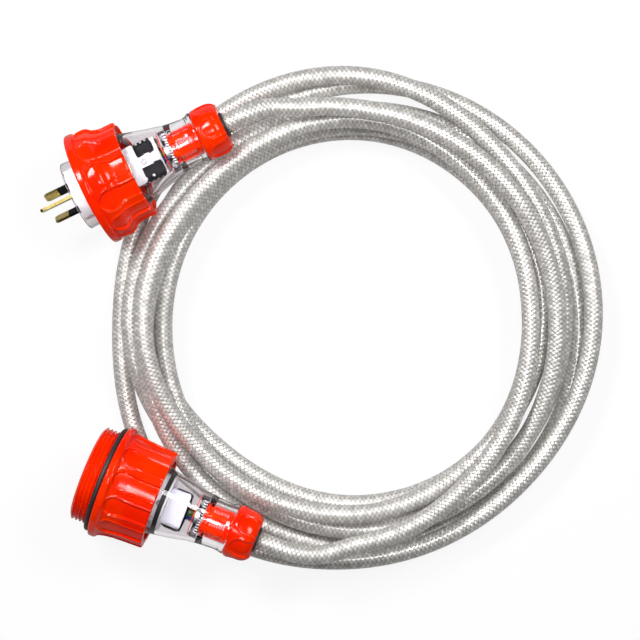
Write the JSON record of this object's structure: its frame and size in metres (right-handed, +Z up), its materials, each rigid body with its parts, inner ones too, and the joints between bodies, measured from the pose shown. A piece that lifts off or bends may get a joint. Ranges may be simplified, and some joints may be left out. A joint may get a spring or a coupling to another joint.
{
  "type": "shore power cord",
  "caption": "Screened three-pin extension lead in a loose coil, with a plug whose captive threaded ring locks onto a matching threaded socket.",
  "frame": {"origin": "on the floor, at the middle of the box round the plug and the socket; the coil of cable lies to +X of them", "axes": "+Z up, +Y towards the plug's side of the plan and -Y towards the socket's, +X from the connectors to the coil"},
  "size_m": [0.3223, 0.2907, 0.0701],
  "materials": {
    "plug_body": "clear polycarbonate",
    "plug_locking_ring": "glossy orange polycarbonate",
    "plug_insert": "white moulding",
    "plug_earth_pin": "bare brass",
    "plug_line_pins": "bare brass",
    "plug_pin_sleeves": "black moulding",
    "plug_terminals": "bare brass",
    "plug_terminal_shrouds": "black moulding",
    "plug_terminal_screws": "plated steel",
    "plug_active_core": "brown core insulation",
    "plug_neutral_core": "blue core insulation",
    "plug_earth_core": "green and yellow core insulation",
    "plug_cord_clamp": "black moulding",
    "plug_clamp_screws": "plated steel",
    "plug_collet": "glossy orange polycarbonate",
    "plug_grommet": "black rubber",
    "plug_slip_washer": "plated steel",
    "plug_gland_nut": "glossy orange polycarbonate",
    "plug_face_gasket": "black rubber",
    "plug_ring_retainer": "plated steel",
    "plug_sheath_tail": "galvanised wire braid under a clear sheath",
    "socket_front_shell": "glossy orange polycarbonate",
    "socket_o_ring": "black rubber",
    "socket_insert": "white moulding",
    "socket_contacts": "bare brass",
    "socket_terminals": "bare brass",
    "socket_terminal_cover": "white moulding",
    "socket_terminal_screws": "plated steel",
    "socket_rear_body": "clear polycarbonate",
    "socket_body_seal": "black rubber",
    "socket_assembly_screws": "plated steel",
    "socket_active_core": "brown core insulation",
    "socket_neutral_core": "blue core insulation",
    "socket_earth_core": "green and yellow core insulation",
    "socket_cord_clamp": "black moulding",
    "socket_clamp_screws": "plated steel",
    "socket_collet": "glossy orange polycarbonate",
    "socket_grommet": "black rubber",
    "socket_slip_washer": "plated steel",
    "socket_gland_nut": "glossy orange polycarbonate",
    "socket_sheath_tail": "galvanised wire braid under a clear sheath",
    "cord_plug_end": "galvanised wire braid under a clear sheath",
    "cord_coil": "galvanised wire braid under a clear sheath",
    "cord_socket_end": "galvanised wire braid under a clear sheath"
  },
  "bodies": {
    "lead": {"plug_body": "plug_body", "plug_insert": "plug_insert", "plug_earth_pin": "plug_earth_pin", "plug_line_pins": "plug_line_pins", "plug_pin_sleeves": "plug_pin_sleeves", "plug_terminals": "plug_terminals", "plug_terminal_shrouds": "plug_terminal_shrouds", "plug_terminal_screws": "plug_terminal_screws", "plug_active_core": "plug_active_core", "plug_neutral_core": "plug_neutral_core", "plug_earth_core": "plug_earth_core", "plug_cord_clamp": "plug_cord_clamp", "plug_clamp_screws": "plug_clamp_screws", "plug_collet": "plug_collet", "plug_grommet": "plug_grommet", "plug_face_gasket": "plug_face_gasket", "plug_ring_retainer": "plug_ring_retainer", "plug_sheath_tail": "plug_sheath_tail", "socket_front_shell": "socket_front_shell", "socket_o_ring": "socket_o_ring", "socket_insert": "socket_insert", "socket_contacts": "socket_contacts", "socket_terminals": "socket_terminals", "socket_terminal_cover": "socket_terminal_cover", "socket_terminal_screws": "socket_terminal_screws", "socket_rear_body": "socket_rear_body", "socket_body_seal": "socket_body_seal", "socket_assembly_screws": "socket_assembly_screws", "socket_active_core": "socket_active_core", "socket_neutral_core": "socket_neutral_core", "socket_earth_core": "socket_earth_core", "socket_cord_clamp": "socket_cord_clamp", "socket_clamp_screws": "socket_clamp_screws", "socket_collet": "socket_collet", "socket_grommet": "socket_grommet", "socket_sheath_tail": "socket_sheath_tail", "cord_plug_end": "cord_plug_end", "cord_coil": "cord_coil", "cord_socket_end": "cord_socket_end"},
    "ring": {"plug_locking_ring": "plug_locking_ring"},
    "plug_nut_travel": {"plug_slip_washer": "plug_slip_washer"},
    "plug_nut": {"plug_gland_nut": "plug_gland_nut"},
    "socket_nut_travel": {"socket_slip_washer": "socket_slip_washer"},
    "socket_nut": {"socket_gland_nut": "socket_gland_nut"}
  },
  "joints": [
    {"name": "ring_turn", "type": "hinge", "parent": "lead", "child": "ring", "pos_m": [-0.02322, 0.08769, 0.0345], "axis": [0.9004, 0.4276, 0.0802], "continuous": true},
    {"name": "plug_nut_slide", "type": "slide", "parent": "lead", "child": "plug_nut_travel", "axis": [0.9004, 0.4276, 0.0802], "range_m": [0, 0.004]},
    {"name": "plug_nut_turn", "type": "hinge", "parent": "plug_nut_travel", "child": "plug_nut", "pos_m": [0.03328, 0.11452, 0.03954], "axis": [0.9004, 0.4276, 0.0802], "range_deg": [0, 720]},
    {"name": "socket_nut_slide", "type": "slide", "parent": "lead", "child": "socket_nut_travel", "axis": [0.9291, -0.366, 0.0523], "range_m": [0, 0.004]},
    {"name": "socket_nut_turn", "type": "hinge", "parent": "socket_nut_travel", "child": "socket_nut", "pos_m": [0.05151, -0.11452, 0.04135], "axis": [0.9291, -0.366, 0.0523], "range_deg": [0, 720]}
  ],
  "couplings": [
    {"joint": "plug_nut_turn", "follows": "plug_nut_slide", "rad_per_m": 3141.6},
    {"joint": "socket_nut_turn", "follows": "socket_nut_slide", "rad_per_m": 3141.6}
  ]
}
